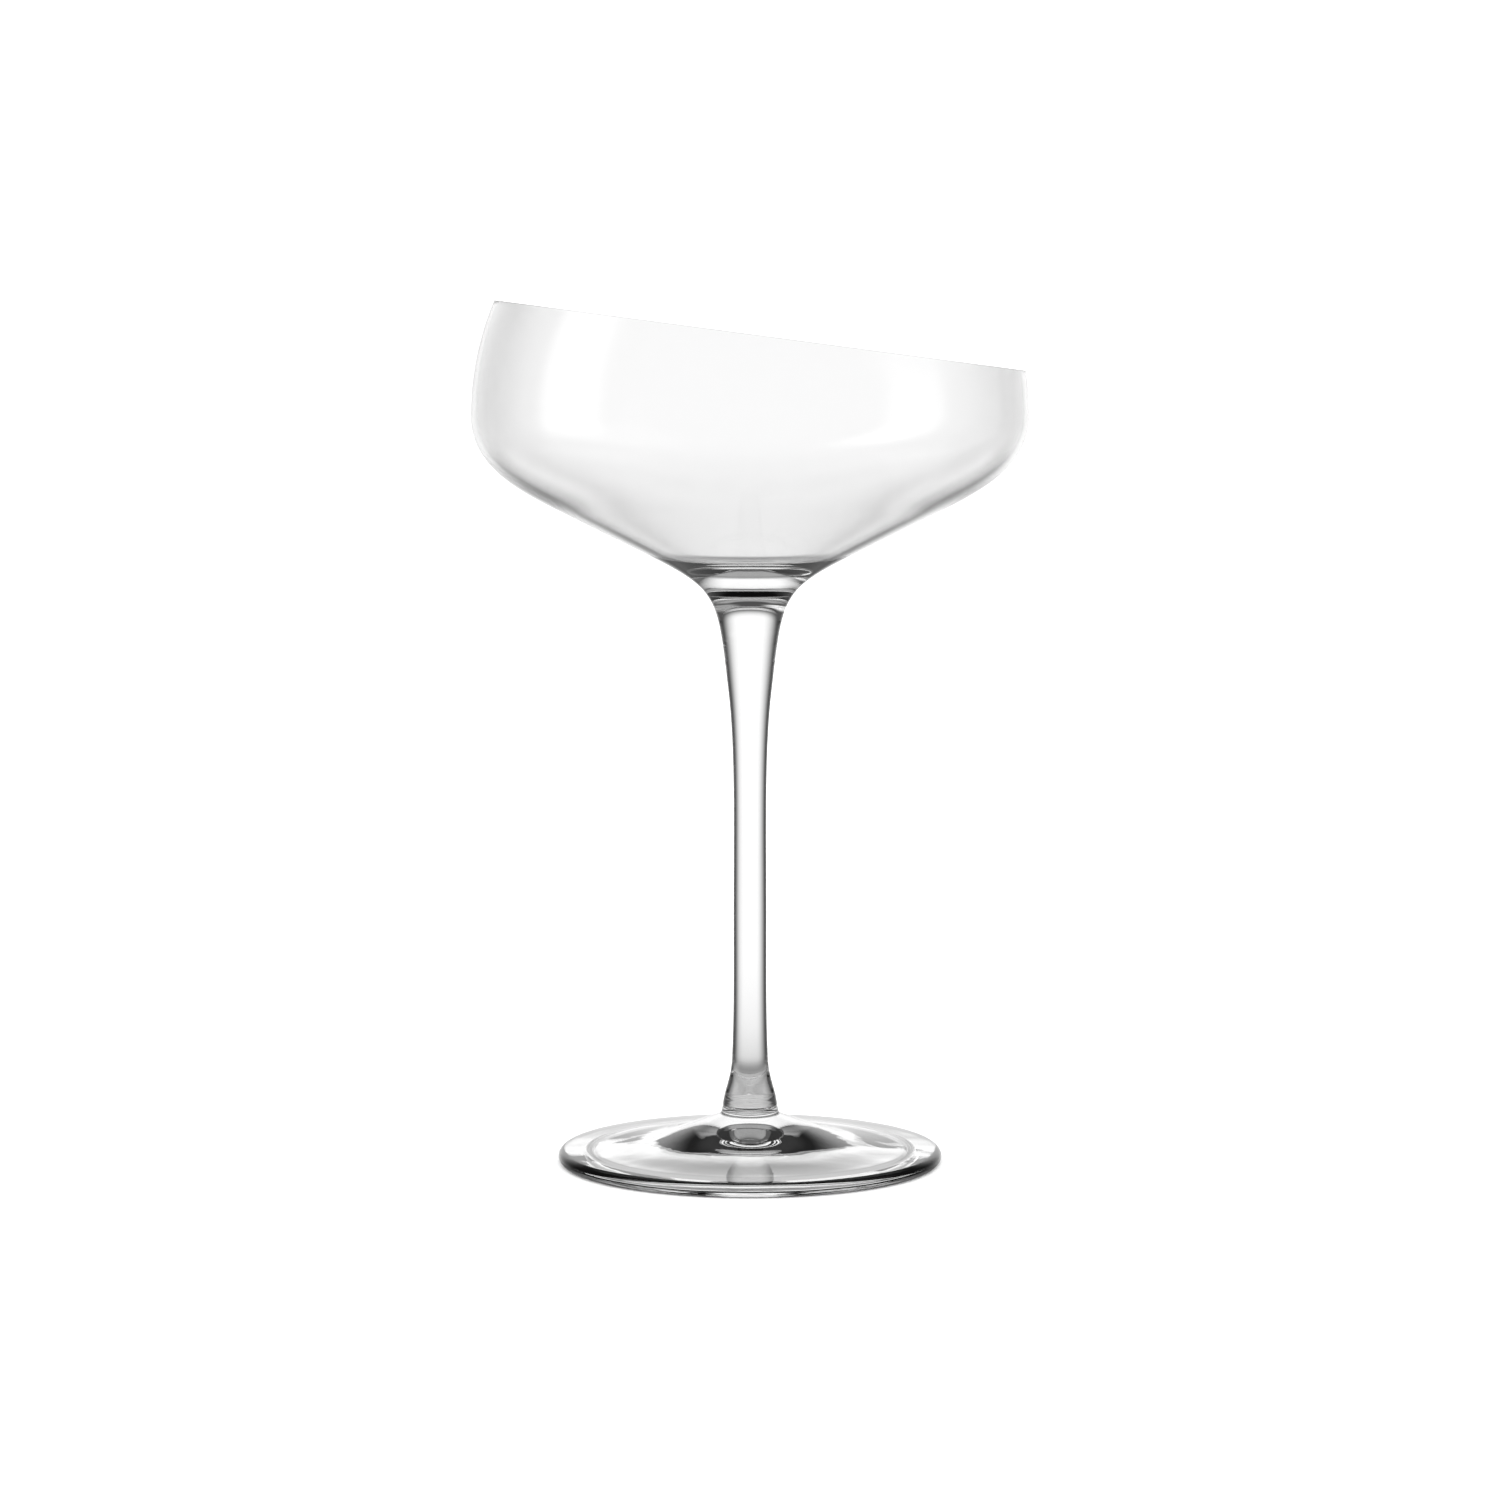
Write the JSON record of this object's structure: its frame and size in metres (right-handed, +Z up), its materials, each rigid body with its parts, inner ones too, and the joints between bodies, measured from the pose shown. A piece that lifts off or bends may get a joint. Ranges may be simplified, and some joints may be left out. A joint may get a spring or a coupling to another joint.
{
  "type": "coupe glass",
  "caption": "Stemmed clear-glass cocktail coupe with a wide shallow bowl, a slanted rim, a slender drawn stem and a round foot.",
  "frame": {"origin": "centre of the foot's underside, on the surface that the glass stands on", "axes": "+Z up along the stem; the rim is highest on the -X side and lowest on the +X side; +Y is the far side seen from the front"},
  "size_m": [0.11, 0.11, 0.1717],
  "materials": {
    "clear_glass": "clear, fire-polished, smooth"
  },
  "bodies": {
    "root": {"bowl": "clear_glass", "stem": "clear_glass", "foot": "clear_glass"}
  },
  "joints": []
}
